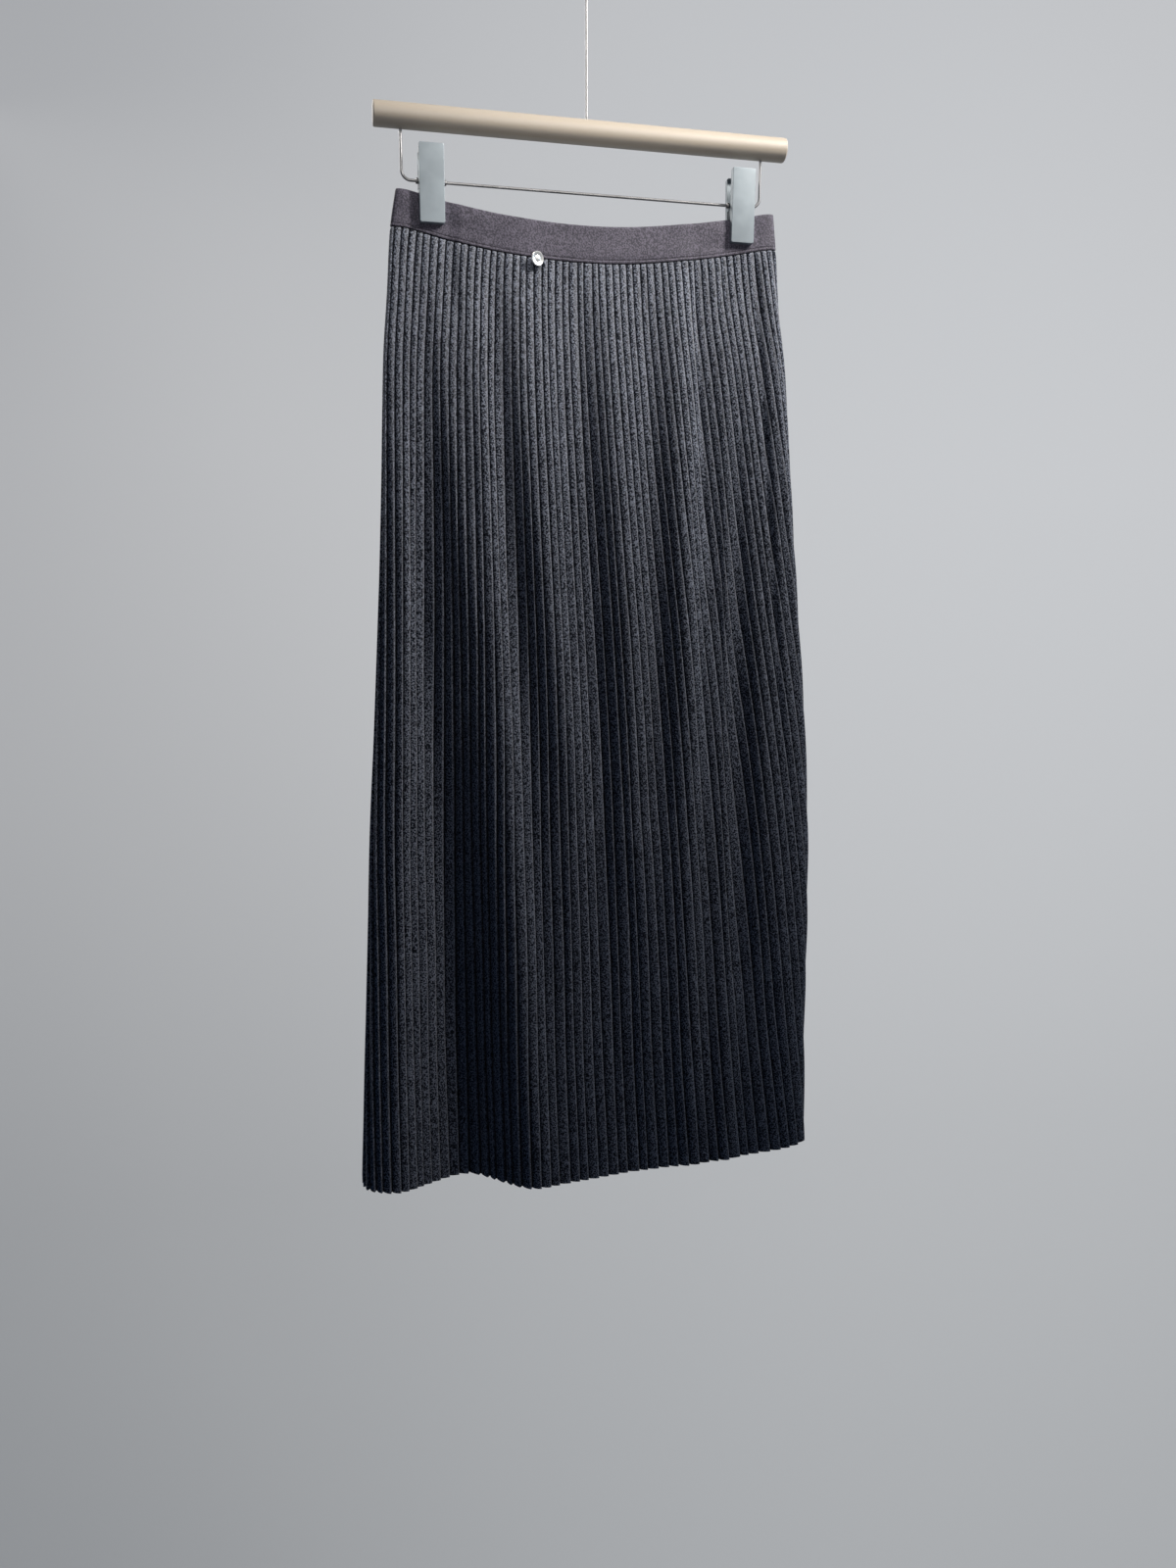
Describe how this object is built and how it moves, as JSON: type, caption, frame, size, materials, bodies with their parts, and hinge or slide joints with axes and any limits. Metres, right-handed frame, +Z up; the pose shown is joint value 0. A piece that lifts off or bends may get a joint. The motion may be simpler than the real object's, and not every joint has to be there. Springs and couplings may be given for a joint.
{
  "type": "pleated midi skirt on a clip hanger",
  "caption": "Knife-pleated midi skirt with a plain waistband, held by clips on a wooden bar hanger with a wire hook.",
  "frame": {"origin": "inside top of the hanger's hook, the point that rests on a rail", "axes": "+Z up; +X along the bar and the waist, to the right as seen from the front; -Y is the front of the skirt"},
  "size_m": [0.4315, 0.0726, 1.0811],
  "materials": {
    "pleated_cloth": "charcoal melange, matt",
    "waistband_cloth": "smooth dark aubergine grey, soft sheen",
    "pale_beech": "pale beech, clear matt varnish",
    "bright_wire": "bright drawn wire",
    "satin_metal": "satin blue-grey",
    "polished_metal": "polished silver"
  },
  "bodies": {
    "root": {"skirt_front": "pleated_cloth", "skirt_back": "pleated_cloth", "waistband": "waistband_cloth", "metal_disc": "polished_metal", "hanger_bar": "pale_beech", "hanger_hook": "bright_wire", "clip_wire": "bright_wire", "clip_left_front_jaw": "satin_metal", "clip_left_back_jaw": "satin_metal", "clip_left_spring": "bright_wire", "clip_right_front_jaw": "satin_metal", "clip_right_back_jaw": "satin_metal", "clip_right_spring": "bright_wire"}
  },
  "joints": []
}
